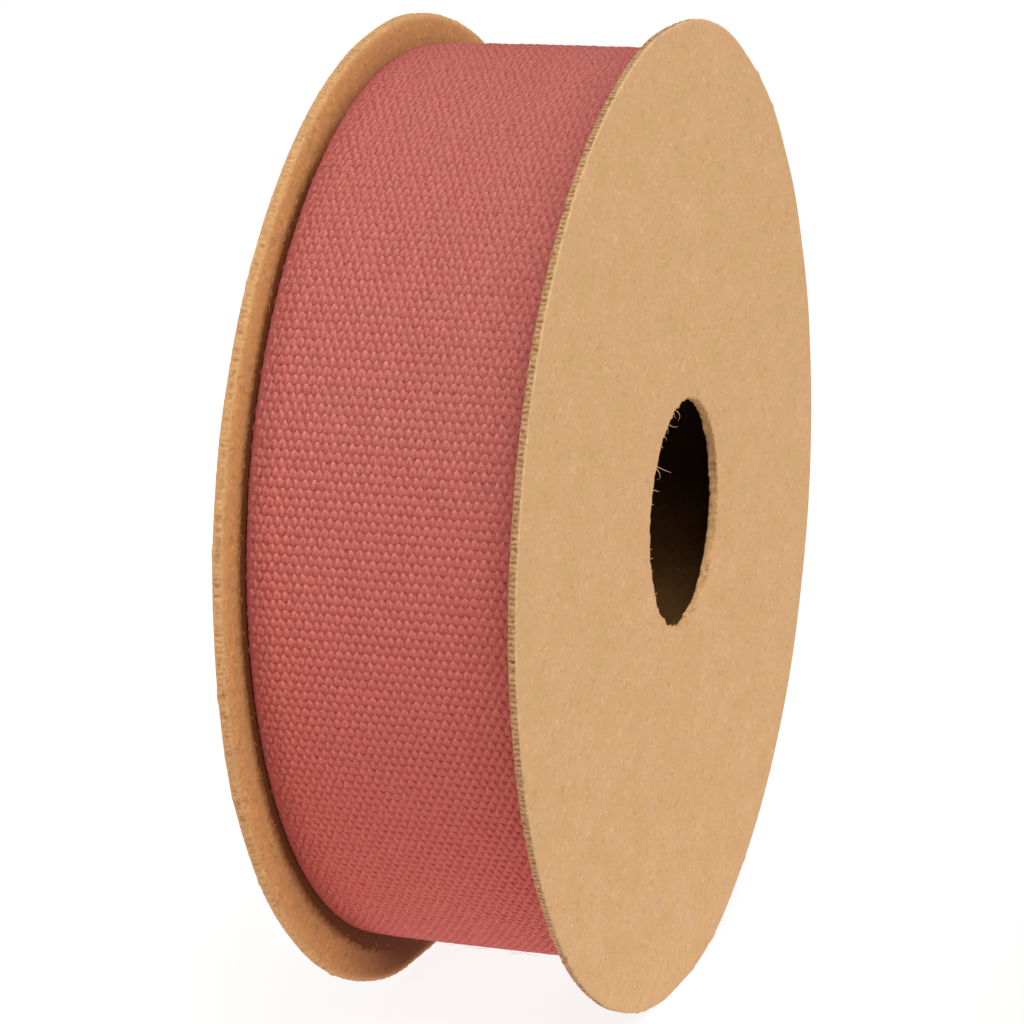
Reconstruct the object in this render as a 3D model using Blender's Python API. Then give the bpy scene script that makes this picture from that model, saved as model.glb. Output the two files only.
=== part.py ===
"""A roll of woven cotton ribbon on a spool of two card discs joined by a card tube.

Run it with: blender --background --python part.py

The spool's axis runs along X. It stands on the rims of its discs, which have a small flat at the bottom.
The origin is on the floor, under the middle of the spool. The ribbon's end lies on the winding at the back (+Y).
Angles round the axis are measured from +Y towards +Z.
"""

import math

import bmesh
import bpy

# Driving sizes, in metres
RIBBON_WIDTH = 0.025
RIBBON_THICKNESS = 0.00045
WINDING_RADIUS = 0.0430
DISC_RADIUS = 0.0465
CARD_THICKNESS = 0.0009
HOLE_RADIUS = 0.01085
TUBE_RADIUS = 0.0220
TUBE_WALL = 0.0015

# The card is pressed a little flat where the discs stand on the floor
REST_FLAT_HALF_WIDTH = 0.0040

# The pieces are glued or wound tightly, and keep this much between their faces
PIECE_GAP = 0.0003

# The tube and the winding share one axis, a little off the middle of the discs
AXIS_BACK = 0.00115
AXIS_UP = 0.00056

# The holes are punched closer to the middle of the discs
HOLE_BACK = 0.0008
HOLE_UP = 0.0003

# The ribbon's cut end lies flat on the turn below it, at the back and a little under the middle
RIBBON_END_ANGLE = math.radians(-25.0)

# Straight steps in a full circle
ROUND_STEPS = 192

# Faces that meet at more than this keep a sharp edge in the smooth shading
SHARP_ANGLE = math.radians(30.0)

DISC_HEIGHT = math.sqrt(DISC_RADIUS**2 - REST_FLAT_HALF_WIDTH**2)
DISC_INNER_FACE = RIBBON_WIDTH / 2 + PIECE_GAP

KRAFT_CARD = {"color": (0.651, 0.386, 0.191, 1.0), "roughness": 0.85}
TUBE_BOARD = {"color": (0.462, 0.270, 0.133, 1.0), "roughness": 0.9}
COTTON = {"color": (0.527, 0.150, 0.127, 1.0), "roughness": 0.9}


def clear_scene():
    """Start from an empty scene."""
    for old in list(bpy.data.objects):
        bpy.data.objects.remove(old, do_unlink=True)


def finish_material(name, finish):
    """A plain, non-metal material in the colour and roughness of the real surface."""
    material = bpy.data.materials.new(name)
    material.use_nodes = True
    shader = material.node_tree.nodes["Principled BSDF"]
    shader.inputs["Base Color"].default_value = finish["color"]
    shader.inputs["Roughness"].default_value = finish["roughness"]
    shader.inputs["Metallic"].default_value = 0.0
    material.diffuse_color = finish["color"]
    return material


def round_point(radius, angle, centre=(0.0, 0.0)):
    """The (y, z) of a point on a circle round the spool's axis."""
    return (centre[0] + radius * math.cos(angle), centre[1] + radius * math.sin(angle))


def disc_outline():
    """The disc's rim: one long arc, whose two ends are joined by the flat that it stands on."""
    flat_angle = math.asin(REST_FLAT_HALF_WIDTH / DISC_RADIUS)
    first = -math.pi / 2 + flat_angle
    sweep = 2 * math.pi - 2 * flat_angle
    return [round_point(DISC_RADIUS, first + sweep * i / ROUND_STEPS) for i in range(ROUND_STEPS + 1)]


def circle_outline(radius, first_angle, steps, centre=(0.0, 0.0)):
    """A full circle with its first point at first_angle."""
    return [round_point(radius, first_angle + 2 * math.pi * i / steps, centre) for i in range(steps)]


def winding_outline():
    """The outermost turn: it comes in by one ribbon's thickness in a full circle, and its cut end is a step."""
    outermost = WINDING_RADIUS + RIBBON_THICKNESS / 2
    points = []
    for i in range(ROUND_STEPS + 1):
        turned = i / ROUND_STEPS
        radius = outermost - RIBBON_THICKNESS * turned
        points.append(round_point(radius, RIBBON_END_ANGLE + 2 * math.pi * turned))
    return points


def closed_loop(bm, points, x):
    """Edges of a closed loop through (y, z) points, in the plane at x."""
    corners = [bm.verts.new((x, y, z)) for y, z in points]
    return [bm.edges.new((corners[i - 1], corner)) for i, corner in enumerate(corners)]


def ring_solid(name, outer, inner, thickness, material):
    """A solid of even thickness along X between an outer and an inner outline, centred on x = 0."""
    bm = bmesh.new()
    edges = closed_loop(bm, outer, -thickness / 2) + closed_loop(bm, inner, -thickness / 2)
    side = bmesh.ops.bridge_loops(bm, edges=edges)["faces"]
    raised = bmesh.ops.extrude_face_region(bm, geom=side)["geom"]
    raised_corners = [item for item in raised if isinstance(item, bmesh.types.BMVert)]
    bmesh.ops.translate(bm, vec=(thickness, 0.0, 0.0), verts=raised_corners)
    bmesh.ops.recalc_face_normals(bm, faces=bm.faces)
    mesh = bpy.data.meshes.new(name)
    bm.to_mesh(mesh)
    bm.free()
    mesh.materials.append(material)
    mesh.shade_smooth()
    mesh.set_sharp_from_angle(angle=SHARP_ANGLE)
    piece = bpy.data.objects.new(name, mesh)
    bpy.context.collection.objects.link(piece)
    return piece


def make_discs(card):
    """The two round card sides, alike, each with its punched hole."""
    outer = disc_outline()
    inner = circle_outline(HOLE_RADIUS, -math.pi / 2, len(outer), (HOLE_BACK, HOLE_UP))
    for name, side in (("card_disc_right", 1), ("card_disc_left", -1)):
        disc = ring_solid(name, outer, inner, CARD_THICKNESS, card)
        disc.location = (side * (DISC_INNER_FACE + CARD_THICKNESS / 2), 0.0, DISC_HEIGHT)


def make_axis():
    """An empty on the axis that the tube and the winding share."""
    axis = bpy.data.objects.new("winding_axis", None)
    axis.location = (0.0, AXIS_BACK, DISC_HEIGHT + AXIS_UP)
    bpy.context.collection.objects.link(axis)
    return axis


def make_tube(board, axis):
    """The card tube between the discs, as long as the ribbon is wide."""
    outer = circle_outline(TUBE_RADIUS, 0.0, ROUND_STEPS)
    inner = circle_outline(TUBE_RADIUS - TUBE_WALL, 0.0, ROUND_STEPS)
    tube = ring_solid("core_tube", outer, inner, RIBBON_WIDTH, board)
    tube.parent = axis


def make_winding(cotton, axis):
    """All turns of the ribbon as one solid, with the spiral of its last turn."""
    outer = winding_outline()
    inner = circle_outline(TUBE_RADIUS + PIECE_GAP, RIBBON_END_ANGLE, len(outer))
    winding = ring_solid("ribbon_roll", outer, inner, RIBBON_WIDTH, cotton)
    winding.parent = axis


def main():
    clear_scene()
    make_discs(finish_material("kraft card", KRAFT_CARD))
    axis = make_axis()
    make_tube(finish_material("grey-brown tube board", TUBE_BOARD), axis)
    make_winding(finish_material("dyed cotton", COTTON), axis)


main()
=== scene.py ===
"""Looks of a roll of woven cotton ribbon on its card spool, laid out as an add-on and run as a script.

The ribbon is woven flat, across X and along Y with its face up, and one function then winds it on the spool.
Lengths are in metres. Angles round the spool's axis are measured from +Y towards +Z, as in the CAD.
"""

import math

import bpy
import numpy as np
from bpy.props import FloatProperty, FloatVectorProperty, IntProperty, PointerProperty
from mathutils import Matrix, Vector


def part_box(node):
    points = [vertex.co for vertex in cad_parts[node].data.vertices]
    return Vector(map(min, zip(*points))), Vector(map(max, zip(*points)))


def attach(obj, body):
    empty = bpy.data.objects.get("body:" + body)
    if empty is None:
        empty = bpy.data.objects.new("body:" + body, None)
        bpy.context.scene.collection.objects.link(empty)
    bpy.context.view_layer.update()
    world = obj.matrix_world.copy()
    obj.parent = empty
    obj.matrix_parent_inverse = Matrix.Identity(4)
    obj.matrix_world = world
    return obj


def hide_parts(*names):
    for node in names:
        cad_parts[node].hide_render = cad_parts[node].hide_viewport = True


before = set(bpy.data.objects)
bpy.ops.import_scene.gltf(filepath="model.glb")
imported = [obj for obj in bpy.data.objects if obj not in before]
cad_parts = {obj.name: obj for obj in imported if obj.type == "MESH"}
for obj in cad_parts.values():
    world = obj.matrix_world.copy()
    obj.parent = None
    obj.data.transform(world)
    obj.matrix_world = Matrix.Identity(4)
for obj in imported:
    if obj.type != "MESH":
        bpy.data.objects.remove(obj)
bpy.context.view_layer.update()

bl_info = {
    "name": "Cotton ribbon spool",
    "version": (1, 0, 0),
    "blender": (4, 5, 0),
    "location": "3D View > Sidebar > Ribbon spool",
    "description": "Makes a roll of woven cotton ribbon on a spool of kraft card",
    "category": "Add Mesh",
}

MM = 0.001

# The spool's own sizes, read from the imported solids
DISC_LOW, DISC_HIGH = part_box("card_disc_right")
DISC_RADIUS = (DISC_HIGH.y - DISC_LOW.y) / 2
DISC_HEIGHT = DISC_HIGH.z - DISC_RADIUS
CARD_INNER_FACE = DISC_LOW.x
CARD_THICKNESS = DISC_HIGH.x - DISC_LOW.x
TUBE_LOW, TUBE_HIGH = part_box("core_tube")
AXIS_Y = (TUBE_LOW.y + TUBE_HIGH.y) / 2
AXIS_Z = (TUBE_LOW.z + TUBE_HIGH.z) / 2
HALF_RIBBON = TUBE_HIGH.x


def reach(node):
    """The least and the greatest distance of a CAD node's corners from the spool's axis."""
    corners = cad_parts[node].data.vertices
    away = [math.hypot(v.co.y - AXIS_Y, v.co.z - AXIS_Z) for v in corners]
    return min(away), max(away)


TUBE_BORE, TUBE_OUTSIDE = reach("core_tube")
WINDING_BORE, WINDING_OUTSIDE = reach("ribbon_roll")

# The hole in the discs, from the disc's corners that lie inside the tube's bore
HOLE_CORNERS = [
    v.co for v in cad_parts["card_disc_right"].data.vertices
    if math.hypot(v.co.y - AXIS_Y, v.co.z - AXIS_Z) < TUBE_BORE]
HOLE_RADIUS = (max(c.y for c in HOLE_CORNERS) - min(c.y for c in HOLE_CORNERS)) / 2
HOLE_Y = min(c.y for c in HOLE_CORNERS) + HOLE_RADIUS
HOLE_Z = min(c.z for c in HOLE_CORNERS) + HOLE_RADIUS

# The ribbon as the CAD winds it: its cut end, and how much one turn adds to the radius
END_ANGLE = math.radians(-25.0)
RIBBON_THICKNESS = 0.45 * MM
TURN_LENGTH = 2 * math.pi * (WINDING_OUTSIDE - RIBBON_THICKNESS / 2)
TURNS = int((WINDING_OUTSIDE - WINDING_BORE) / RIBBON_THICKNESS)


def linear(code):
    """An sRGB colour such as "#C8A070" as linear red, green, blue and alpha."""
    channels = [int(code[i:i + 2], 16) / 255 for i in (1, 3, 5)]
    return tuple(c / 12.92 if c <= 0.04045 else ((c + 0.055) / 1.055) ** 2.4 for c in channels) + (1.0,)


class CardSettings(bpy.types.PropertyGroup):
    """Colours and edge sizes of the card discs and the tube."""

    light: FloatVectorProperty(
        name="Light kraft", description="Colour of the lighter patches of the card",
        default=linear("#D2A275"), subtype="COLOR", size=4, min=0, max=1)
    dark: FloatVectorProperty(
        name="Dark kraft", description="Colour of the darker patches of the card",
        default=linear("#CB9D6B"), subtype="COLOR", size=4, min=0, max=1)
    inside: FloatVectorProperty(
        name="Inner side", description="Colour of the warmer side of the card, which faces the ribbon",
        default=linear("#D49A60"), subtype="COLOR", size=4, min=0, max=1)
    pulp: FloatVectorProperty(
        name="Cut edge", description="Colour of the card's lighter inside, where it is cut",
        default=linear("#CEA378"), subtype="COLOR", size=4, min=0, max=1)
    crevice: FloatVectorProperty(
        name="Crevices", description="Colour deep in the marks of the cut",
        default=linear("#865324"), subtype="COLOR", size=4, min=0, max=1)
    speck: FloatVectorProperty(
        name="Bark specks", description="Colour of the few specks of bark in the outer face",
        default=linear("#9A6A3C"), subtype="COLOR", size=4, min=0, max=1)
    # Painted shade: the dark colour laid on the inner side next to the ribbon's edges and at its foot
    painted_shade: FloatVectorProperty(
        name="Worn card", description="Colour of the inner side where it is rubbed by the ribbon or stained",
        default=linear("#64300A"), subtype="COLOR", size=4, min=0, max=1)
    board: FloatVectorProperty(
        name="Tube board", description="Colour of the tube's dark brown board",
        default=linear("#54381C"), subtype="COLOR", size=4, min=0, max=1)
    hatch_depth: FloatProperty(
        name="Hatch depth", description="Depth of the marks that the cutting die left across the rim",
        default=0.07 * MM, unit="LENGTH", precision=5)
    burr: FloatProperty(
        name="Burr", description="How far torn tufts of paper stand out of the rim",
        default=0.10 * MM, unit="LENGTH", precision=5)


class RibbonSettings(bpy.types.PropertyGroup):
    """Threads and colours of the ribbon."""

    ends: IntProperty(
        name="Warp ends", description="Threads that run along the ribbon", default=62, min=8)
    picks: IntProperty(
        name="Picks in a turn", description="Threads across the ribbon in one turn, an even number",
        default=330, min=12)
    crest: FloatProperty(
        name="Crest", description="Height of a raised warp thread over the ground between the threads",
        default=0.21 * MM, unit="LENGTH", precision=5)
    light: FloatVectorProperty(
        name="Light thread", description="Colour of the lightest warp threads",
        default=linear("#C86E65"), subtype="COLOR", size=4, min=0, max=1)
    dark: FloatVectorProperty(
        name="Dark thread", description="Colour of the darkest warp threads",
        default=linear("#C0655B"), subtype="COLOR", size=4, min=0, max=1)
    # Painted highlight: the pale colour at the first end of each raised warp thread
    tip_highlight: FloatVectorProperty(
        name="Fuzz", description="Colour of the fuzz where the warp threads come up",
        default=linear("#E0A59C"), subtype="COLOR", size=4, min=0, max=1)
    # Painted shade: the picks are the threads' dye made darker, for lying deep between the raised threads
    ground: FloatVectorProperty(
        name="Ground", description="Colour of the picks, deep between the warp threads",
        default=linear("#AF4F48"), subtype="COLOR", size=4, min=0, max=1)
    # Painted flatter light: the one red towards which the colour low on the roll is evened out
    pressed: FloatVectorProperty(
        name="Pressed threads", description="Colour towards which the threads go that are pressed flat",
        default=linear("#BF655B"), subtype="COLOR", size=4, min=0, max=1)


class StageSettings(bpy.types.PropertyGroup):
    """Camera, floor and lights."""

    lens: FloatProperty(name="Lens", description="Focal length", default=127.2, min=1.0)
    distance: FloatProperty(
        name="Distance", description="From the middle of the discs to the camera",
        default=0.3448, unit="LENGTH")
    azimuth: FloatProperty(
        name="Azimuth", description="How far the camera stands round to the right of the ribbon's face",
        default=math.radians(19.20), subtype="ANGLE")
    elevation: FloatProperty(
        name="Elevation", description="How far the camera stands above the middle of the discs",
        default=math.radians(12.20), subtype="ANGLE")
    aim_left: FloatProperty(
        name="Aim left", description="How far the camera is turned to the left of the discs' middle",
        default=math.radians(0.521), subtype="ANGLE")
    aim_down: FloatProperty(
        name="Aim down", description="How far the camera is turned below the discs' middle",
        default=math.radians(0.061), subtype="ANGLE")
    key_power: FloatProperty(
        name="Key power", description="Power of the large soft light above", default=8.5, unit="POWER")
    front_power: FloatProperty(
        name="Front power", description="Power of the low soft light in front", default=3.6, unit="POWER")
    floor: FloatVectorProperty(
        name="Floor", description="Colour of the pale floor",
        default=linear("#FFFFFF"), subtype="COLOR", size=4, min=0, max=1)


def add_node(tree, kind, inputs=None, **settings):
    """Add a node, make its settings, and give its inputs, by name or number, a value or a link."""
    node = tree.nodes.new(kind)
    for name, value in settings.items():
        setattr(node, name, value)
    for key, value in (inputs or {}).items():
        if isinstance(value, bpy.types.NodeSocket):
            tree.links.new(value, node.inputs[key])
        else:
            node.inputs[key].default_value = value
    return node


def new_material(name):
    """A material with an empty node tree and its output node."""
    material = bpy.data.materials.new(name)
    material.use_nodes = True
    material.node_tree.nodes.clear()
    output = material.node_tree.nodes.new("ShaderNodeOutputMaterial")
    return material, material.node_tree, output


# How many cells of each noise of the paper lie in a millimetre
CLOUDS = 0.34
CLUMPS = 1.7
FIBRE_BENDS = 1.1
CURL_CLUSTERS = 0.8
CURLS = 0.95

# Card is drawn out along Y, the way it was rolled
ROLLED_OUT = (1.0, 0.55, 1.0)

# How far the short fibres are bent, in millimetres
FIBRE_BEND = (0.8, 1.8, 0.8)

# Short fibres: each lay's turn from Y towards Z in degrees, and the size of its fibres in millimetres
FIBRE_LAYS = (
    (2.0, (0.20, 0.90, 0.22)),
    (84.0, (0.20, 0.50, 0.42)),
)

# Curled fibres, light ones and dark ones: how far their noise is moved in millimetres, and what they add
CURL_LAYS = ((0.0, 0.50), (40.0, -0.46))


def paper_relief(tree):
    """Place in millimetres, place on the rolled card, and the values of kraft paper's clumps and fibres."""
    object_place = add_node(tree, "ShaderNodeTexCoord")
    mm = add_node(
        tree, "ShaderNodeVectorMath",
        {0: object_place.outputs["Object"], "Scale": 1 / MM}, operation="SCALE")
    place = mm.outputs[0]
    drawn_out = add_node(tree, "ShaderNodeVectorMath", {0: place, 1: ROLLED_OUT}, operation="MULTIPLY")
    rolled = drawn_out.outputs[0]
    # Clumps of fibres, about 0.6 mm wide
    clumps = add_node(
        tree, "ShaderNodeTexNoise", {"Vector": rolled, "Scale": CLUMPS, "Detail": 3.0, "Roughness": 0.6})
    # Short fibres in two lays, a little bent
    bend = add_node(tree, "ShaderNodeTexNoise", {"Vector": rolled, "Scale": FIBRE_BENDS, "Detail": 1.0})
    bent = add_node(
        tree, "ShaderNodeVectorMath",
        {0: bend.outputs["Color"], 1: FIBRE_BEND, 2: place}, operation="MULTIPLY_ADD")
    fibres = []
    for turn, size in FIBRE_LAYS:
        lay = add_node(
            tree, "ShaderNodeMapping",
            {"Vector": bent.outputs[0], "Rotation": (math.radians(turn), 0.0, 0.0), "Scale": size},
            vector_type="TEXTURE")
        fibres.append(add_node(
            tree, "ShaderNodeTexNoise",
            {"Vector": lay.outputs[0], "Scale": 1.0, "Detail": 1.0, "Roughness": 0.5}))
    lays = add_node(
        tree, "ShaderNodeMath", {0: fibres[0].outputs["Fac"], 1: fibres[1].outputs["Fac"]}, operation="ADD")
    short = add_node(
        tree, "ShaderNodeMapRange",
        {"Value": lays.outputs[0], "From Min": 0.0, "From Max": 2.0, "To Min": 0.86, "To Max": 1.14})
    total = short.outputs[0]
    # Curled fibres in loose clusters, light and dark, along the level lines of a noise
    clusters = add_node(
        tree, "ShaderNodeTexNoise",
        {"Vector": place, "Scale": CURL_CLUSTERS, "Detail": 2.0, "Roughness": 0.6})
    shown = add_node(
        tree, "ShaderNodeMapRange", {"Value": clusters.outputs["Fac"], "From Min": 0.45, "From Max": 0.60})
    for offset, weight in CURL_LAYS:
        moved = add_node(tree, "ShaderNodeVectorMath", {0: rolled, 1: (offset, 0.0, 0.0)}, operation="ADD")
        swirl = add_node(
            tree, "ShaderNodeTexNoise",
            {"Vector": moved.outputs[0], "Scale": CURLS, "Detail": 1.0, "Roughness": 0.6})
        centred = add_node(tree, "ShaderNodeMath", {0: swirl.outputs["Fac"], 1: 0.5}, operation="SUBTRACT")
        off_line = add_node(tree, "ShaderNodeMath", {0: centred.outputs[0]}, operation="ABSOLUTE")
        curl = add_node(
            tree, "ShaderNodeMapRange",
            {"Value": off_line.outputs[0], "From Max": 0.055, "To Min": weight, "To Max": 0.0})
        total = add_node(
            tree, "ShaderNodeMath", {0: curl.outputs[0], 1: shown.outputs[0], 2: total},
            operation="MULTIPLY_ADD").outputs[0]
    return place, rolled, clumps.outputs["Fac"], total


def outer_face(tree, card, place, rolled, clumps, fibres):
    """Colour of the pressed outer face: faintly cloudy, with short fibres and a few specks of bark."""
    # Clouds of slightly redder and yellower pulp, about 3 mm wide
    clouds = add_node(
        tree, "ShaderNodeTexNoise", {"Vector": rolled, "Scale": CLOUDS, "Detail": 3.0, "Roughness": 0.6})
    cloud = add_node(
        tree, "ShaderNodeMapRange", {"Value": clouds.outputs["Fac"], "From Min": 0.30, "From Max": 0.70})
    base = add_node(
        tree, "ShaderNodeMix",
        {"Factor": cloud.outputs[0], 6: tuple(card.dark), 7: tuple(card.light)}, data_type="RGBA")
    # Fibres and clumps change the brightness by a few per cent
    strength = add_node(
        tree, "ShaderNodeMapRange",
        {"Value": fibres, "From Min": 0.60, "From Max": 1.40, "To Min": 0.87, "To Max": 1.13})
    clumped = add_node(
        tree, "ShaderNodeMapRange",
        {"Value": clumps, "From Min": 0.3, "From Max": 0.7, "To Min": 0.98, "To Max": 1.02})
    bright = add_node(
        tree, "ShaderNodeMath", {0: strength.outputs[0], 1: clumped.outputs[0]}, operation="MULTIPLY")
    paper = add_node(
        tree, "ShaderNodeVectorMath",
        {0: base.outputs[2], "Scale": bright.outputs[0]}, operation="SCALE")
    # A few dark specks of bark, about 0.2 mm across and several millimetres apart
    specks = add_node(tree, "ShaderNodeTexVoronoi", {"Vector": place, "Scale": 0.45, "Randomness": 1.0})
    speck = add_node(
        tree, "ShaderNodeMapRange",
        {"Value": specks.outputs["Distance"], "From Min": 0.03, "From Max": 0.06,
         "To Min": 0.55, "To Max": 0.0})
    specked = add_node(
        tree, "ShaderNodeMix",
        {"Factor": speck.outputs[0], 6: paper.outputs[0], 7: tuple(card.speck)}, data_type="RGBA")
    return specked.outputs[2]


# Width in millimetres of the ring of painted shade on the inner side, next to the ribbon's edges
RING_WIDTH = 1.45

# Heights in millimetres between which that ring of painted shade and the painted shade at the foot fade out
# upwards
RING_FADES = (76.0, 91.0)
FOOT_SHADE_FADES = (9.0, 16.0)

# Places in millimetres, from front to back, between which the painted shade at the foot grows
FOOT_SHADE_BEGINS = (-26.0, -4.0)


def inner_shade_share(tree, place, axes, clumps, fibres):
    """How much of the inner side's own colour gives way to painted shade, next to the ribbon and at the
    foot.
    """
    # Painted shade in a ring next to the ribbon's edges, ragged, and weaker on to the rim and high up
    from_axis = add_node(
        tree, "ShaderNodeVectorMath",
        {0: place, 1: (0.0, -AXIS_Y / MM, -AXIS_Z / MM)}, operation="ADD")
    in_plane = add_node(
        tree, "ShaderNodeVectorMath", {0: from_axis.outputs[0], 1: (0.0, 1.0, 1.0)}, operation="MULTIPLY")
    away = add_node(tree, "ShaderNodeVectorMath", {0: in_plane.outputs[0]}, operation="LENGTH")
    ragged = add_node(
        tree, "ShaderNodeMath", {0: clumps, 1: 0.9, 2: away.outputs["Value"]}, operation="MULTIPLY_ADD")
    frayed = add_node(
        tree, "ShaderNodeMath", {0: fibres, 1: -0.60, 2: ragged.outputs[0]}, operation="MULTIPLY_ADD")
    edge_of_roll = WINDING_OUTSIDE / MM - 0.25
    shade_share = add_node(
        tree, "ShaderNodeMapRange",
        {"Value": frayed.outputs[0], "From Min": edge_of_roll, "From Max": edge_of_roll + RING_WIDTH,
         "To Min": 0.92, "To Max": 0.0})
    low_down = add_node(
        tree, "ShaderNodeMapRange",
        {"Value": axes.outputs["Z"], "From Min": RING_FADES[0], "From Max": RING_FADES[1],
         "To Min": 1.0, "To Max": 0.0})
    low_shade = add_node(
        tree, "ShaderNodeMath", {0: shade_share.outputs[0], 1: low_down.outputs[0]}, operation="MULTIPLY")
    faded = add_node(
        tree, "ShaderNodeMapRange",
        {"Value": frayed.outputs[0], "From Min": edge_of_roll, "From Max": DISC_RADIUS / MM,
         "To Min": 0.30, "To Max": 0.0})
    darkened = add_node(
        tree, "ShaderNodeMath", {0: low_shade.outputs[0], 1: faded.outputs[0]}, operation="ADD")
    # Painted shade at the foot of the inner side, under the roll, but for its front
    foot = add_node(
        tree, "ShaderNodeMapRange",
        {"Value": axes.outputs["Z"], "From Min": FOOT_SHADE_FADES[0], "From Max": FOOT_SHADE_FADES[1],
         "To Min": 0.88, "To Max": 0.0})
    behind = add_node(
        tree, "ShaderNodeMapRange",
        {"Value": axes.outputs["Y"], "From Min": FOOT_SHADE_BEGINS[0], "From Max": FOOT_SHADE_BEGINS[1]},
        interpolation_type="SMOOTHSTEP")
    in_shade = add_node(
        tree, "ShaderNodeMath", {0: foot.outputs[0], 1: behind.outputs[0], 2: darkened.outputs[0]},
        operation="MULTIPLY_ADD", use_clamp=True)
    return in_shade.outputs[0]


# Marks of the die round the rim of a disc, one about every 0.5 mm
DIE_MARKS = 590.0


def die_hatching(tree, place, axes):
    """Strength of the short dark marks that the die left across the rim."""
    height = add_node(
        tree, "ShaderNodeMath", {0: axes.outputs["Z"], 1: DISC_HEIGHT / MM}, operation="SUBTRACT")
    angle = add_node(
        tree, "ShaderNodeMath", {0: height.outputs[0], 1: axes.outputs["Y"]}, operation="ARCTAN2")
    jitter = add_node(tree, "ShaderNodeTexNoise", {"Vector": place, "Scale": 2.0, "Detail": 3.0})
    phase = add_node(
        tree, "ShaderNodeMath", {0: angle.outputs[0], 1: DIE_MARKS}, operation="MULTIPLY")
    uneven = add_node(
        tree, "ShaderNodeMath", {0: jitter.outputs["Fac"], 1: 9.0, 2: phase.outputs[0]},
        operation="MULTIPLY_ADD")
    wave = add_node(tree, "ShaderNodeMath", {0: uneven.outputs[0]}, operation="COSINE")
    # Smudges about 0.35 mm wide, where the die pressed harder
    across = add_node(
        tree, "ShaderNodeMapping", {"Vector": place, "Scale": (0.35, 0.30, 0.30)}, vector_type="TEXTURE")
    smudges = add_node(
        tree, "ShaderNodeTexNoise", {"Vector": across.outputs[0], "Scale": 1.0, "Detail": 1.0})
    pressed = add_node(
        tree, "ShaderNodeMapRange",
        {"Value": smudges.outputs["Fac"], "From Min": 0.34, "From Max": 0.60,
         "To Min": 0.50, "To Max": 0.90})
    dashes = add_node(
        tree, "ShaderNodeMapRange",
        {"Value": wave.outputs[0], "From Min": -0.5, "From Max": 0.8, "To Min": 0.36},
        interpolation_type="SMOOTHSTEP")
    hatch = add_node(
        tree, "ShaderNodeMath", {0: dashes.outputs[0], 1: pressed.outputs[0]}, operation="MULTIPLY")
    return hatch.outputs[0]


def kraft_card_material(card):
    """Uncoated kraft card, die-cut: matt, faintly cloudy, with short fibres, and paler where it is cut."""
    material, tree, output = new_material("Uncoated kraft card, die-cut")
    place, rolled, clumps, fibres = paper_relief(tree)
    axes = add_node(tree, "ShaderNodeSeparateXYZ", {0: place})
    face = outer_face(tree, card, place, rolled, clumps, fibres)
    shade_share = inner_shade_share(tree, place, axes, clumps, fibres)
    # The unpressed inner side and the cut are furrier
    furry = add_node(
        tree, "ShaderNodeMapRange",
        {"Value": fibres, "From Min": 0.70, "From Max": 1.30, "To Min": 0.80, "To Max": 1.20})
    clotted = add_node(
        tree, "ShaderNodeMapRange",
        {"Value": clumps, "From Min": 0.3, "From Max": 0.7, "To Min": 0.93, "To Max": 1.07})
    fur = add_node(
        tree, "ShaderNodeMath", {0: furry.outputs[0], 1: clotted.outputs[0]}, operation="MULTIPLY")
    # The side that faces the ribbon is a warmer colour, with painted shade next to the ribbon and at its
    # foot
    inner = add_node(tree, "ShaderNodeAttribute", attribute_name="inner")
    warm_side = add_node(
        tree, "ShaderNodeVectorMath",
        {0: tuple(card.inside)[:3], "Scale": fur.outputs[0]}, operation="SCALE")
    sided = add_node(
        tree, "ShaderNodeMix",
        {"Factor": inner.outputs["Fac"], 6: face, 7: warm_side.outputs[0]}, data_type="RGBA")
    shadowed = add_node(
        tree, "ShaderNodeMath", {0: shade_share, 1: inner.outputs["Fac"]}, operation="MULTIPLY")
    painted_shade = add_node(
        tree, "ShaderNodeMix",
        {"Factor": shadowed.outputs[0], 6: sided.outputs[2], 7: tuple(card.painted_shade)}, data_type="RGBA")
    # The cut shows the paler pulp, browned on the left disc, and hatched by the die with short dark marks
    cut = add_node(tree, "ShaderNodeAttribute", attribute_name="cut")
    pulp = add_node(
        tree, "ShaderNodeMix",
        {"Factor": inner.outputs["Fac"], 6: tuple(card.pulp), 7: tuple(card.inside)}, data_type="RGBA")
    edge = add_node(
        tree, "ShaderNodeVectorMath", {0: pulp.outputs[2], "Scale": fur.outputs[0]}, operation="SCALE")
    hatch = die_hatching(tree, place, axes)
    hatched = add_node(tree, "ShaderNodeAttribute", attribute_name="hatched")
    depth = add_node(tree, "ShaderNodeAttribute", attribute_name="crevice")
    dark_mark = add_node(
        tree, "ShaderNodeMath",
        {0: hatch, 1: hatched.outputs["Fac"], 2: depth.outputs["Fac"]}, operation="MULTIPLY_ADD",
        use_clamp=True)
    edge_marked = add_node(
        tree, "ShaderNodeMix",
        {"Factor": dark_mark.outputs[0], 6: edge.outputs[0], 7: tuple(card.crevice)}, data_type="RGBA")
    marked = add_node(
        tree, "ShaderNodeMix",
        {"Factor": cut.outputs["Fac"], 6: painted_shade.outputs[2], 7: edge_marked.outputs[2]}, data_type="RGBA")
    relief = add_node(tree, "ShaderNodeMath", {0: fibres, 1: clumps}, operation="ADD")
    bump = add_node(
        tree, "ShaderNodeBump", {"Strength": 0.35, "Distance": 0.05 * MM, "Height": relief.outputs[0]})
    shader = add_node(
        tree, "ShaderNodeBsdfPrincipled",
        {"Base Color": marked.outputs[2], "Roughness": 0.88, "Specular IOR Level": 0.25,
         "Normal": bump.outputs[0]})
    tree.links.new(shader.outputs[0], output.inputs[0])
    return material


# Heights in millimetres between which the painted light in the bottom of the tube fades into painted shade
# higher up
PAINTED_LIGHT_FADES = (35.0, 47.0)


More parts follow.
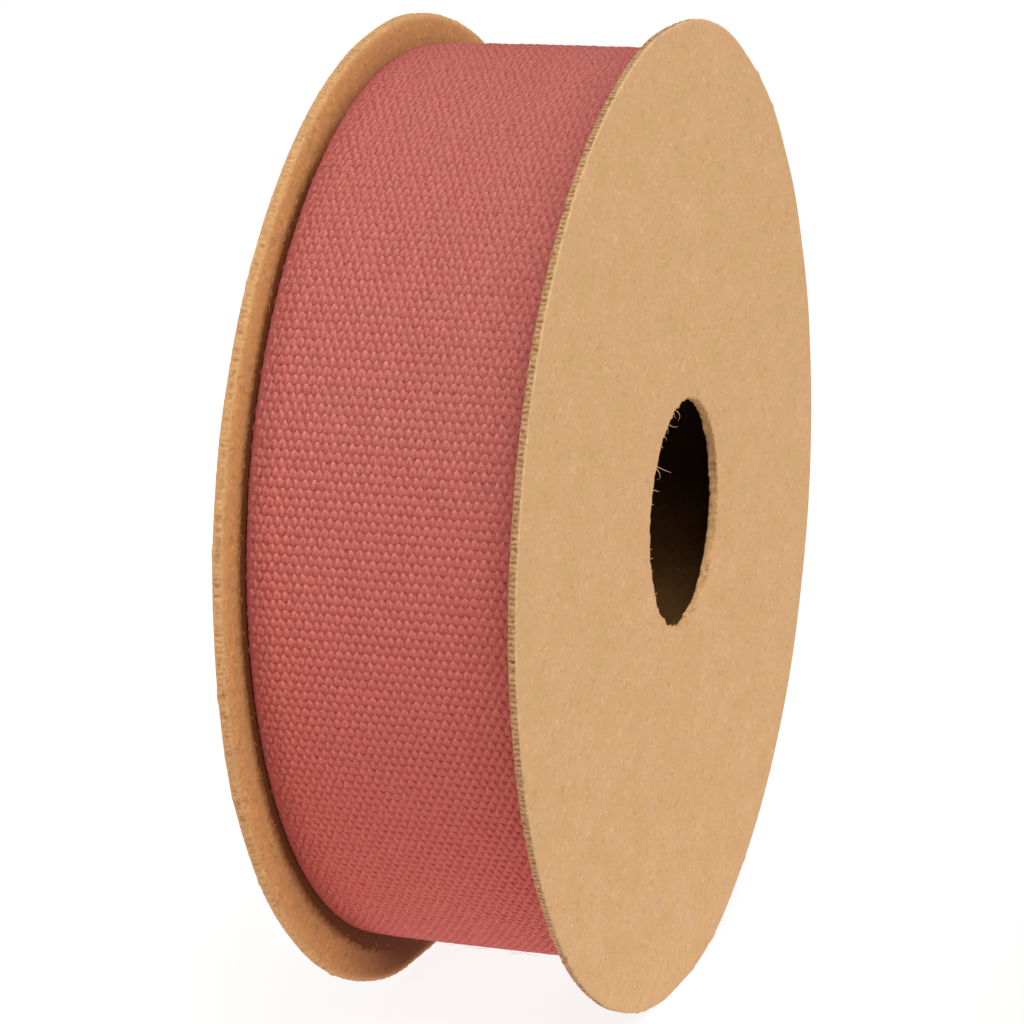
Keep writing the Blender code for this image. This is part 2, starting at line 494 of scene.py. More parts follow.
def tube_board_material(card):
    """Wound tube board: the duller grey-brown of recycled paper, matt and a little coarse."""
    material, tree, output = new_material("Wound tube board")
    place, _, clumps, fibres = paper_relief(tree)
    shade = add_node(
        tree, "ShaderNodeMapRange",
        {"Value": clumps, "From Min": 0.3, "From Max": 0.7, "To Min": 0.80, "To Max": 1.20})
    # Painted light and shade: the board is paler in the bottom of the tube, where light comes in, and darker
    # higher up
    axes = add_node(tree, "ShaderNodeSeparateXYZ", {0: place})
    painted_light_low = add_node(
        tree, "ShaderNodeMapRange",
        {"Value": axes.outputs["Z"], "From Min": PAINTED_LIGHT_FADES[0], "From Max": PAINTED_LIGHT_FADES[1],
         "To Min": 2.6, "To Max": 0.30},
        interpolation_type="SMOOTHSTEP")
    toned_and_lit = add_node(
        tree, "ShaderNodeMath", {0: shade.outputs[0], 1: painted_light_low.outputs[0]}, operation="MULTIPLY")
    board = add_node(
        tree, "ShaderNodeVectorMath",
        {0: tuple(card.board)[:3], "Scale": toned_and_lit.outputs[0]}, operation="SCALE")
    bump = add_node(tree, "ShaderNodeBump", {"Strength": 0.4, "Distance": 0.06 * MM, "Height": fibres})
    shader = add_node(
        tree, "ShaderNodeBsdfPrincipled",
        {"Base Color": board.outputs[0], "Roughness": 0.92, "Specular IOR Level": 0.2,
         "Normal": bump.outputs[0]})
    tree.links.new(shader.outputs[0], output.inputs[0])
    return material


def yarn_texture(tree, place, plies, tone):
    """The yarn's fibres, the ridges of its two plies, and what both do to its brightness, with painted shade
    between the plies.
    """
    # The fibres are drawn at 0.1 mm, coarser than real ones so that they show
    fibre = add_node(
        tree, "ShaderNodeTexNoise", {"Vector": place, "Scale": 6.0, "Detail": 3.0, "Roughness": 0.7})
    fleck = add_node(
        tree, "ShaderNodeMapRange",
        {"Value": fibre.outputs["Fac"], "From Min": 0.3, "From Max": 0.7, "To Min": 0.80, "To Max": 1.18})
    # Two plies twisted together: two slanting ridges on each raised stretch, shifted from one to the next,
    # with painted shade in the grooves between them
    slant = add_node(tree, "ShaderNodeVectorMath", {0: plies, 1: (2.2, 0.55, 0.0)}, operation="DOT_PRODUCT")
    wobble = add_node(
        tree, "ShaderNodeMath", {0: fibre.outputs["Fac"], 1: 0.9, 2: slant.outputs["Value"]},
        operation="MULTIPLY_ADD")
    shifted = add_node(
        tree, "ShaderNodeMath", {0: tone, 1: 5.0, 2: wobble.outputs[0]}, operation="MULTIPLY_ADD")
    angle = add_node(tree, "ShaderNodeMath", {0: shifted.outputs[0], 1: 2 * math.pi}, operation="MULTIPLY")
    ridge = add_node(tree, "ShaderNodeMath", {0: angle.outputs[0]}, operation="COSINE")
    ply_groove_shade = add_node(
        tree, "ShaderNodeMapRange",
        {"Value": ridge.outputs[0], "From Min": -1.0, "From Max": 1.0, "To Min": 0.93, "To Max": 1.05})
    textured = add_node(
        tree, "ShaderNodeMath", {0: fleck.outputs[0], 1: ply_groove_shade.outputs[0]}, operation="MULTIPLY")
    return fibre.outputs["Fac"], ridge.outputs[0], textured.outputs[0]


def thread_color(tree, ribbon, tone, along, off_middle):
    """Colour of the threads: painted shade on the picks and at the last end of each raised stretch, and a
    painted highlight at its first end.
    """
    raised = add_node(tree, "ShaderNodeAttribute", attribute_name="raised")
    thread = add_node(
        tree, "ShaderNodeMix",
        {"Factor": tone, 6: tuple(ribbon.dark), 7: tuple(ribbon.light)}, data_type="RGBA")
    # The picks' darker colour is painted shade, for lying deep between the raised threads
    color = add_node(
        tree, "ShaderNodeMix",
        {"Factor": raised.outputs["Fac"], 6: tuple(ribbon.ground), 7: thread.outputs[2]}, data_type="RGBA")
    # Painted shade: the last end of each raised stretch goes towards the picks' darker colour
    lower_end_shade = add_node(
        tree, "ShaderNodeMapRange",
        {"Value": along, "From Min": -0.12, "From Max": 0.44, "To Min": 0.0, "To Max": 0.40})
    deep = add_node(
        tree, "ShaderNodeMix",
        {"Factor": lower_end_shade.outputs[0], 6: color.outputs[2], 7: tuple(ribbon.ground)}, data_type="RGBA")
    # Painted highlight at the first end of each raised stretch, weaker towards the selvedges
    tip = add_node(
        tree, "ShaderNodeMapRange",
        {"Value": along, "From Min": -0.42, "From Max": -0.10, "To Min": 0.36, "To Max": 0.0})
    loose = add_node(
        tree, "ShaderNodeMapRange",
        {"Value": off_middle, "From Min": HALF_RIBBON / MM - 2.6, "From Max": HALF_RIBBON / MM - 0.8,
         "To Min": 1.0, "To Max": 0.1})
    highlight_inside = add_node(
        tree, "ShaderNodeMath", {0: tip.outputs[0], 1: loose.outputs[0]}, operation="MULTIPLY")
    highlighted = add_node(
        tree, "ShaderNodeMix",
        {"Factor": highlight_inside.outputs[0], 6: deep.outputs[2], 7: tuple(ribbon.tip_highlight)}, data_type="RGBA")
    return highlighted.outputs[2]


# Heights in millimetres between which the roll goes from its lower part, with painted flatter light, to its
# upper one, with a painted sheen
LOWER_PART_FADES = (18.0, 62.0)

# What the dye's linear red, green and blue are low on the roll, as shares of those above, which have the
# painted sheen
BELOW_SHEEN_TINT = (1.08, 0.83, 0.81, 1.0)


def cotton_material(ribbon):
    """Dyed cotton yarn in a plain weave: matt, uneven in its fibres, with painted highlights and painted
    shade on its threads.
    """
    material, tree, output = new_material("Dyed cotton yarn")
    object_place = add_node(tree, "ShaderNodeTexCoord")
    place = add_node(
        tree, "ShaderNodeVectorMath",
        {0: object_place.outputs["Object"], "Scale": 1 / MM}, operation="SCALE")
    axes = add_node(tree, "ShaderNodeSeparateXYZ", {0: place.outputs[0]})
    off_middle = add_node(tree, "ShaderNodeMath", {0: axes.outputs["X"]}, operation="ABSOLUTE")
    plies = add_node(tree, "ShaderNodeAttribute", attribute_name="plies")
    along = add_node(tree, "ShaderNodeSeparateXYZ", {0: plies.outputs["Vector"]})
    tone = add_node(tree, "ShaderNodeAttribute", attribute_name="tone")
    fibre, ridge, textured = yarn_texture(
        tree, place.outputs[0], plies.outputs["Vector"], tone.outputs["Fac"])
    color = thread_color(tree, ribbon, tone.outputs["Fac"], along.outputs["Y"], off_middle.outputs[0])
    # Painted light and shade: each raised stretch is lighter at its first end and darker at its last
    end_light_and_shade = add_node(
        tree, "ShaderNodeMapRange",
        {"Value": along.outputs["Y"], "From Min": -0.36, "From Max": 0.44, "To Min": 1.05, "To Max": 0.92})
    # Painted shade: the threads are darker towards the selvedges, next to the discs
    selvedge_shade = add_node(
        tree, "ShaderNodeMapRange",
        {"Value": off_middle.outputs[0], "From Min": HALF_RIBBON / MM - 2.2,
         "From Max": HALF_RIBBON / MM - 0.2, "To Min": 1.0, "To Max": 0.92})
    end_and_edge_shade = add_node(
        tree, "ShaderNodeMath", {0: end_light_and_shade.outputs[0], 1: selvedge_shade.outputs[0]}, operation="MULTIPLY")
    shade = add_node(
        tree, "ShaderNodeMath", {0: textured, 1: end_and_edge_shade.outputs[0]}, operation="MULTIPLY")
    shaded = add_node(tree, "ShaderNodeVectorMath", {0: color, "Scale": shade.outputs[0]}, operation="SCALE")
    # Painted flatter light: low on the roll the threads' colour is evened out towards one red
    height = add_node(
        tree, "ShaderNodeMapRange",
        {"Value": axes.outputs["Z"], "From Min": LOWER_PART_FADES[0], "From Max": LOWER_PART_FADES[1]})
    pressed = add_node(
        tree, "ShaderNodeMapRange", {"Value": height.outputs[0], "To Min": 0.50, "To Max": 0.0})
    evened = add_node(
        tree, "ShaderNodeMix",
        {"Factor": pressed.outputs[0], 6: shaded.outputs[0], 7: tuple(ribbon.pressed)}, data_type="RGBA")
    # Painted sheen from the light above: the upper half is paler and less red, and the red is deeper below
    sheen_tint = add_node(
        tree, "ShaderNodeMix",
        {"Factor": height.outputs[0], 6: BELOW_SHEEN_TINT, 7: (1.0, 1.0, 1.0, 1.0)}, data_type="RGBA")
    dyed = add_node(
        tree, "ShaderNodeVectorMath", {0: evened.outputs[2], 1: sheen_tint.outputs[2]}, operation="MULTIPLY")
    relief = add_node(tree, "ShaderNodeMath", {0: ridge, 1: 0.35, 2: fibre}, operation="MULTIPLY_ADD")
    bump = add_node(
        tree, "ShaderNodeBump", {"Strength": 0.9, "Distance": 0.08 * MM, "Height": relief.outputs[0]})
    shader = add_node(
        tree, "ShaderNodeBsdfPrincipled",
        {"Base Color": dyed.outputs[0], "Roughness": 0.6, "Specular IOR Level": 0.18,
         "Normal": bump.outputs[0]})
    tree.links.new(shader.outputs[0], output.inputs[0])
    return material


# Where the floor's glow changes, in metres: from front to back, and from the middle to the right
GLOW_FRONT, GLOW_BACK = -0.16, -0.02
GLOW_MIDDLE, GLOW_RIGHT = 0.0, 0.050

# Share of the light of the studio that the floor gives back, besides its own glow
FLOOR_MATT = 0.22


def floor_material(stage):
    """A smooth, pale, matt studio floor that glows by itself, a little less in front and on the right."""
    material, tree, output = new_material("Pale matt floor")
    place = add_node(tree, "ShaderNodeTexCoord")
    axes = add_node(tree, "ShaderNodeSeparateXYZ", {0: place.outputs["Object"]})
    back = add_node(
        tree, "ShaderNodeMapRange",
        {"Value": axes.outputs["Y"], "From Min": GLOW_FRONT, "From Max": GLOW_BACK,
         "To Min": 0.64, "To Max": 0.88})
    left = add_node(
        tree, "ShaderNodeMapRange",
        {"Value": axes.outputs["X"], "From Min": GLOW_MIDDLE, "From Max": GLOW_RIGHT,
         "To Min": 1.0, "To Max": 0.84})
    strength = add_node(
        tree, "ShaderNodeMath", {0: back.outputs[0], 1: left.outputs[0]}, operation="MULTIPLY")
    dull = tuple(FLOOR_MATT * c for c in stage.floor[:3]) + (1.0,)
    matt = add_node(tree, "ShaderNodeBsdfDiffuse", {"Color": dull})
    glow = add_node(
        tree, "ShaderNodeEmission", {"Color": tuple(stage.floor), "Strength": strength.outputs[0]})
    both = add_node(tree, "ShaderNodeAddShader", {0: matt.outputs[0], 1: glow.outputs[0]})
    tree.links.new(both.outputs[0], output.inputs[0])
    return material


def even_noise(rng, count, width):
    """Smooth random values round a ring of count samples, each swell about width samples wide, spread 1."""
    waves = np.fft.rfft(rng.standard_normal(count))
    waves *= np.exp(-2 * (math.pi * np.fft.rfftfreq(count) * width) ** 2)
    waves[0] = 0
    values = np.fft.irfft(waves, count)
    return values / values.std()


def mesh_object(name, points, faces, material, values=None):
    """An object of points and faces, smooth, with its normals out and named values stored on its points."""
    mesh = bpy.data.meshes.new(name)
    mesh.from_pydata([tuple(p) for p in points], [], faces)
    mesh.update()
    for key, numbers in (values or {}).items():
        attribute = mesh.attributes.new(key, "FLOAT", "POINT")
        attribute.data.foreach_set("value", np.asarray(numbers, np.float32))
    mesh.materials.append(material)
    mesh.shade_smooth()
    piece = bpy.data.objects.new(name, mesh)
    bpy.context.scene.collection.objects.link(piece)
    return piece


def join_rings(rings):
    """Faces between rings of point numbers, and from the last ring to the first.

    A ring may have a whole number of times as many points as the next one.
    """
    faces = []
    for first, second in zip(rings, rings[1:] + rings[:1]):
        count = min(len(first), len(second))
        a, b = len(first) // count, len(second) // count
        for i in range(count):
            near = [first[k % len(first)] for k in range(i * a, (i + 1) * a + 1)]
            far = [second[k % len(second)] for k in range(i * b, (i + 1) * b + 1)]
            faces.append(near + far[::-1])
    return faces


# Where the rim's section turns: inset from the outline, depth under the outer face, how much of the die's
# grooves it takes, how much of the torn tufts, how much of it is cut pulp, and how much of the dark hatching
RIM_SECTION = (
    (0.80, 0.000, 0.0, 0.0, 0.0, 0.0),
    (0.30, -0.006, 0.0, 0.0, 0.0, 0.0),
    (0.14, 0.002, 0.1, 0.3, 0.5, 0.0),
    (0.03, 0.040, 0.3, 1.0, 1.0, 0.0),
    (0.00, 0.110, 0.5, 0.8, 1.0, 0.3),
    (0.01, 0.200, 0.7, 0.4, 1.0, 0.9),
    (0.04, 0.340, 1.0, 0.2, 1.0, 1.0),
    (0.05, 0.520, 1.0, 0.2, 1.0, 1.0),
    (0.07, 0.660, 1.0, 0.4, 1.0, 1.0),
    (0.14, 0.760, 0.6, 0.9, 0.8, 0.8),
    (0.30, 0.845, 0.3, 0.6, 0.55, 0.2),
    (0.56, 0.890, 0.1, 0.2, 0.25, 0.0),
    (0.95, 0.900, 0.0, 0.0, 0.0, 0.0),
)
RIM_STEPS = 2560
FACE_STEPS = 512
FACE_RINGS = (0.955, 0.8, 0.6, 0.4, 0.2, 0.04)

# The hole's section, from the inner face to the outer face, with the same columns but the last
HOLE_SECTION = (
    (0.30, 0.900, 0.1, 0.2),
    (0.06, 0.890, 0.9, 0.8),
    (0.00, 0.800, 0.7, 1.0),
    (-0.02, 0.600, 0.3, 1.0),
    (-0.01, 0.400, 0.3, 1.0),
    (0.00, 0.200, 0.4, 1.0),
    (0.01, 0.060, 1.2, 1.0),
    (0.07, 0.005, 0.9, 0.5),
    (0.25, 0.000, 0.0, 0.0),
)


def around(count):
    """Evenly spread angles round a circle."""
    return np.arange(count) * 2 * math.pi / count


def rim_outline(angles):
    """Points of the disc's outline in its plane, flat where it stands on the floor."""
    y = DISC_RADIUS * np.cos(angles)
    z = np.maximum(DISC_HEIGHT + DISC_RADIUS * np.sin(angles), 0.0)
    return np.stack([y, z], 1)


def hole_outline(angles):
    """Points of the disc's hole in its plane."""
    return np.stack([HOLE_Y + HOLE_RADIUS * np.cos(angles), HOLE_Z + HOLE_RADIUS * np.sin(angles)], 1)


# Widths along the rim of its torn tufts, its slow sway, its die marks, and their change from ring to ring
TUFT_WIDTH = 0.45 * MM
SWAY_WIDTH = 3.0 * MM
MARK_WIDTH = 0.09 * MM
MARK_CHANGE_WIDTH = 0.12 * MM

# Widths of the nubs, dents and shreds of the hole
NUB_WIDTH = 0.16 * MM
DENT_WIDTH = 0.9 * MM
SHRED_WIDTH = 0.2 * MM

# How far the sway, the nubs, the dents and the shreds go in and out
SWAY = 0.06 * MM
NUB = 0.08 * MM
DENT = 0.04 * MM
SHRED = 0.04 * MM

# How far the faces swell, and the width of a swell in steps round the disc
FACE_SWELL = 0.012 * MM
FACE_SWELL_STEPS = 30.0


def card_disc(name, side, card, material, hatching, browned, seed):
    """A die-cut disc with marks of the die and torn tufts on its rim, and a ragged punched hole.

    Side is 1 for the right disc and -1 for the left one. Hatching is the strength of the dark marks on the
    rim, and browned is how far the rim has the inner side's colour.
    """
    rng = np.random.default_rng(seed)
    rim, hole = around(RIM_STEPS), around(FACE_STEPS)
    rim_out = np.stack([np.cos(rim), np.sin(rim)], 1)
    hole_out = np.stack([np.cos(hole), np.sin(hole)], 1)
    rim_step = 2 * math.pi * DISC_RADIUS / RIM_STEPS
    hole_step = 2 * math.pi * HOLE_RADIUS / FACE_STEPS
    tufts = np.clip(even_noise(rng, RIM_STEPS, TUFT_WIDTH / rim_step) - 1.1, 0, 2)
    sway = even_noise(rng, RIM_STEPS, SWAY_WIDTH / rim_step)
    marks = np.clip(even_noise(rng, RIM_STEPS, MARK_WIDTH / rim_step), -0.6, 2.2)
    nubs = even_noise(rng, FACE_STEPS, NUB_WIDTH / hole_step)
    dents = even_noise(rng, FACE_STEPS, DENT_WIDTH / hole_step)
    places, rings, cut, crevice, hatched, inner = [], [], [], [], [], []

    def add_ring(flat, depth, cut_share, dark, hatch, brown=0.0):
        x = side * (CARD_INNER_FACE + CARD_THICKNESS - depth)
        first = sum(len(p) for p in places)
        places.append(np.column_stack([np.broadcast_to(x, len(flat)), flat]))
        rings.append(list(range(first, first + len(flat))))
        cut.append(np.full(len(flat), cut_share))
        crevice.append(np.broadcast_to(dark, len(flat)))
        hatched.append(np.full(len(flat), hatch))
        # All that lies on the inner face has the inner side's colour
        inner.append(np.broadcast_to(np.where(depth > 0.98 * CARD_THICKNESS, 1.0, brown), len(flat)))

    def add_face(shares, depth):
        for share in shares:
            swelled = depth + FACE_SWELL * swell * share * (1 - share)
            add_ring(hole_outline(hole) + spoke * share, swelled, 0.0, 0.0, 0.0)

    for inset, depth, marked, torn, cut_share, hatch in RIM_SECTION:
        own = even_noise(rng, RIM_STEPS, MARK_CHANGE_WIDTH / rim_step)
        groove = marked * np.clip(0.65 * marks + 0.5 * own, -0.5, 2.0)
        out = torn * card.burr * tufts + SWAY * sway * (torn > 0) - card.hatch_depth * groove
        flat = rim_outline(rim) + rim_out * (out - inset * MM)[:, None]
        flat[:, 1] = np.maximum(flat[:, 1], 0.0)
        dark = np.clip(groove * 0.16 - 0.06 + 0.20 * browned, 0, 1)
        add_ring(flat, depth * MM, cut_share, dark, hatch * hatching, browned)
    spoke = rim_outline(hole) - hole_outline(hole)
    swell = even_noise(rng, FACE_STEPS, FACE_SWELL_STEPS)
    add_face(FACE_RINGS, CARD_THICKNESS)
    for inset, depth, torn, cut_share in HOLE_SECTION:
        shreds = even_noise(rng, FACE_STEPS, SHRED_WIDTH / hole_step)
        out = torn * (NUB * nubs + SHRED * shreds + DENT * dents)
        flat = hole_outline(hole) + hole_out * (out + inset * MM)[:, None]
        add_ring(flat, depth * MM, cut_share, 0.0, 0.0, 0.6 * cut_share)
    add_face(FACE_RINGS[::-1], 0.0)
    faces = join_rings(rings)
    if side < 0:
        faces = [face[::-1] for face in faces]
    return mesh_object(
        name, np.concatenate(places), faces, material,
        {"cut": np.concatenate(cut), "crevice": np.concatenate(crevice), "hatched": np.concatenate(hatched),
         "inner": np.concatenate(inner)})


TUBE_STEPS = 192
TUBE_RINGS = 12

# The seam of the wound board: angles across it, share of its depth at each, depth, and turn in a metre
SEAM_ANGLES = (-0.020, -0.010, 0.0, 0.010, 0.020)
SEAM_SHAPE = (0.0, 0.6, 1.0, 0.6, 0.0)
SEAM_DEPTH = 0.12 * MM
SEAM_TURN_PER_METRE = 70.0


def tube_ring(radius, x, seam_depth):
    """Points of a ring of the tube, turned along the tube so that the seam of its wound board is a helix."""
    plain = around(TUBE_STEPS)[1:]
    angles = np.concatenate([SEAM_ANGLES, plain]) + x * SEAM_TURN_PER_METRE
    depths = np.concatenate([SEAM_SHAPE, np.zeros(len(plain))]) * seam_depth
    r = radius + depths
    return np.column_stack([np.full(len(r), x), AXIS_Y + r * np.cos(angles), AXIS_Z + r * np.sin(angles)])


def core_tube(material):
    """The wound board tube, with the helical seam of its inner ply and slightly rounded ends."""
    edge = 0.15 * MM
    stations = np.linspace(-HALF_RIBBON + edge, HALF_RIBBON - edge, TUBE_RINGS)
    places = [tube_ring(TUBE_OUTSIDE, x, 0.0) for x in stations]
    places.append(tube_ring(TUBE_OUTSIDE - edge, HALF_RIBBON, 0.0))
    places.append(tube_ring(TUBE_BORE + edge, HALF_RIBBON, 0.0))
    places += [tube_ring(TUBE_BORE, x, SEAM_DEPTH) for x in stations[::-1]]
    places.append(tube_ring(TUBE_BORE + edge, -HALF_RIBBON, 0.0))
    places.append(tube_ring(TUBE_OUTSIDE - edge, -HALF_RIBBON, 0.0))
    size = len(places[0])
    rings = [list(range(k * size, (k + 1) * size)) for k in range(len(places))]
    return mesh_object("tube_of_wound_board", np.concatenate(places), join_rings(rings), material)


def unevenness(x, turned):
    """How far the wound ribbon stands off its true radius, and how far it wanders across."""
    across = x / HALF_RIBBON
    # Three long swells in a turn, but not at the sides, and seven short slanting ones, in millimetres
    lift = 0.035 * np.sin(2 * math.pi * 3 * turned + 0.8) * (1 - across**2)
    lift = lift + 0.025 * np.sin(2 * math.pi * 7 * turned + 2.1 * across)
    # The selvedges of a wound ribbon sink, most of all in their last millimetre
    lift = lift - 0.09 * across**6 - 0.04 * np.clip((np.abs(across) - 0.93) / 0.07, 0, 1.2) ** 2
    return lift * MM, 0.03 * MM * np.sin(2 * math.pi * 2 * turned + 0.4)


def wind_on(mesh):
    """Wind a mesh that was made flat on to the spool. It mirrors the mesh, so the faces are turned over."""
    co = np.empty(len(mesh.vertices) * 3, np.float32)
    mesh.vertices.foreach_get("co", co)
    x, along, height = co.reshape(-1, 3).astype(float).T
    turned = along / TURN_LENGTH
    lift, shift = unevenness(x, turned)
    angle = END_ANGLE + 2 * math.pi * turned
    radius = WINDING_OUTSIDE - RIBBON_THICKNESS * turned + height + lift
    wound = np.column_stack([x + shift, AXIS_Y + radius * np.cos(angle), AXIS_Z + radius * np.sin(angle)])
    mesh.vertices.foreach_set("co", wound.astype(np.float32).ravel())
    mesh.flip_normals()
    mesh.update()


def strip(name, section, alongs, material, values):
    """A closed flat strip: a section of (x, height) points at each place along, with its ends closed."""
    size = len(section(0.0)[0])
    places = []
    for along in alongs:
        x, height = section(along)
        places.append(np.column_stack([x, np.full(size, along), height]))
    faces = []
    for row in range(len(alongs) - 1):
        for k in range(size):
            here, there = row * size, (row + 1) * size
            n = (k + 1) % size
            faces.append((here + k, here + n, there + n, there + k))
    last = (len(alongs) - 1) * size
    faces.append(tuple(range(size))[::-1])
    faces.append(tuple(range(last, last + size)))
    points = np.concatenate(places)
    return mesh_object(name, points, faces, material, values(points))


INNER_TURN_STEPS = 132

# How far the inner turns lie under their place in the winding, so that the outermost one's picks cover them
UNDER_PICKS = 0.16 * MM


def inner_turns(material):
    """All the turns under the outermost one, as one long flat strip that is wound on."""
    half = HALF_RIBBON - 0.06 * MM
    thick = RIBBON_THICKNESS - 0.02 * MM
    round_off = 0.09 * MM
    alongs = np.linspace(TURN_LENGTH, TURN_LENGTH * (TURNS - 0.02), INNER_TURN_STEPS * (TURNS - 1))

    def section(along):
        x = np.array([half - round_off, half, half, half - round_off])
        z = np.array([-thick, round_off - thick, -round_off, 0.0])
        return np.concatenate([x, -x[::-1]]), np.concatenate([z, z[::-1]]) - UNDER_PICKS

    def values(points):
        return {"tone": np.full(len(points), 0.5), "raised": np.full(len(points), 0.8)}

    piece = strip("ribbon_inner_turns", section, alongs, material, values)
    wind_on(piece.data)
    return piece


# The smooth cord at each selvedge, where the picks turn back: its width, and how far it and its loops go out
SELVEDGE = 0.20 * MM
SELVEDGE_OUT = 0.24 * MM
LOOP_OUT = 0.015 * MM

# Depth of the picks' backs under the winding's radius and of their ripple, as shares of a thread's crest
GROUND_DEPTH = 0.66
GROUND_RIPPLE = 0.22

# Depth of the selvedge's cord, as a share of a thread's crest, and how much of the picks' ripple it has
CORD_DEPTH = 0.34
CORD_RIPPLE = 0.3


def ground_height(along, ribbon):
    """Height of the picks' rounded backs over the winding's radius, with a valley between two picks."""
    phase = 2 * math.pi * along * ribbon.picks / TURN_LENGTH
    return -GROUND_DEPTH * ribbon.crest - GROUND_RIPPLE * ribbon.crest * np.cos(phase)


STEPS_A_PICK = 6


def outer_ground(ribbon, material):
    """The picks of the outermost turn with their loops at both selvedges, on which the warp threads lie."""
    alongs = np.linspace(0.0, TURN_LENGTH, ribbon.picks * STEPS_A_PICK + 1)
    inner = -RIBBON_THICKNESS
    round_off = 0.14 * MM

    def section(along):
        top = ground_height(along, ribbon)
        phase = math.pi * along * ribbon.picks / TURN_LENGTH
        loop = LOOP_OUT * math.cos(2 * phase)
        right = HALF_RIBBON + SELVEDGE_OUT + loop
        left = HALF_RIBBON + SELVEDGE_OUT - loop
        cord = -CORD_DEPTH * ribbon.crest + CORD_RIPPLE * (top + GROUND_DEPTH * ribbon.crest)
        z = np.array([inner, inner + round_off, cord - round_off, cord - 0.25 * round_off, cord, cord, top])
        inset = np.array([round_off, 0.0, 0.0, 0.4 * round_off, round_off, SELVEDGE + 0.15 * MM, 0.9 * MM])
        middle = np.linspace(0.75, -0.75, 7) * HALF_RIBBON
        x = np.concatenate([right - inset, middle, (inset - left)[::-1]])
        return x, np.concatenate([z, np.full(len(middle), top), z[::-1]])

    def values(points):
        return {"tone": np.full(len(points), 0.3), "raised": np.full(len(points), 0.35)}

    piece = strip("ribbon_outer_picks", section, alongs, material, values)
    wind_on(piece.data)
    return piece


# A raised warp thread, from one end to the other: place along, width and height, as shares of the whole
FLOAT_ROWS = (
    (-0.96, 0.06, 0.20),
    (-0.66, 0.34, 0.86),
    (-0.26, 0.68, 1.00),
    (0.22, 1.16, 0.84),
    (0.86, 1.28, 0.16),
)

# Heights of its foot, which is sunk in the picks, and of its pointed ends
FLOAT_FOOT = -0.30
FLOAT_POINT = -0.45

# Its rounded section, from side to side: place across as a share of the half width, and height
FLOAT_SECTION = ((1.03, FLOAT_FOOT), (0.80, 0.78), (0.0, 1.0), (-0.80, 0.78), (-1.03, FLOAT_FOOT))


def float_template():
    """One raised warp thread: 1 long, 1 wide and 1 high, closed, lying along Y with its crest up."""
    points = [(0.0, -0.5, FLOAT_POINT)]
    for along, wide, high in FLOAT_ROWS:
        points += [
            (0.5 * wide * x, 0.5 * along, high * (z - FLOAT_FOOT) + FLOAT_FOOT)
            for x, z in FLOAT_SECTION]
    points.append((0.0, 0.5, FLOAT_POINT))
    size, last = len(FLOAT_SECTION), len(points) - 1
    faces = []
    for k in range(size):
        n = (k + 1) % size
        faces.append((0, 1 + k, 1 + n))
        faces += [
            (1 + row * size + k, 1 + (row + 1) * size + k, 1 + (row + 1) * size + n, 1 + row * size + n)
            for row in range(len(FLOAT_ROWS) - 1)]
        faces.append((last, last - size + n, last - size + k))
    mesh = bpy.data.meshes.new("warp_float")
    mesh.from_pydata(points, [], faces)
    mesh.shade_smooth()
    mesh.update()
    plies = mesh.uv_layers.new(name="plies")
    for loop in mesh.loops:
        plies.data[loop.index].uv = points[loop.vertex_index][:2]
    template = bpy.data.objects.new("warp_float", mesh)
    bpy.context.scene.collection.objects.link(template)
    return template


def geometry_tree(name, sockets):
    """A Geometry Nodes tree with named inputs, and its two end nodes."""
    tree = bpy.data.node_groups.new(name, "GeometryNodeTree")
    for label, kind in sockets:
        tree.interface.new_socket(label, in_out="INPUT", socket_type=kind)
    tree.interface.new_socket("Geometry", in_out="OUTPUT", socket_type="NodeSocketGeometry")
    return tree, tree.nodes.new("NodeGroupInput"), tree.nodes.new("NodeGroupOutput")


def run_tree(name, tree, values):
    """Run a tree on an empty object and keep the result as a plain mesh piece."""
    piece = bpy.data.objects.new(name, bpy.data.meshes.new(name))
    bpy.context.scene.collection.objects.link(piece)
    modifier = piece.modifiers.new(tree.name, "NODES")
    modifier.node_group = tree
    for item in tree.interface.items_tree:
        if item.in_out == "INPUT":
            modifier[item.identifier] = values[item.name]
    bpy.context.view_layer.update()
    shown = piece.evaluated_get(bpy.context.evaluated_depsgraph_get())
    mesh = bpy.data.meshes.new_from_object(shown)
    piece.modifiers.remove(modifier)
    piece.data = mesh
    mesh.name = name
    if not len(mesh.polygons):
        raise RuntimeError(f"{name} came out empty")
    return piece


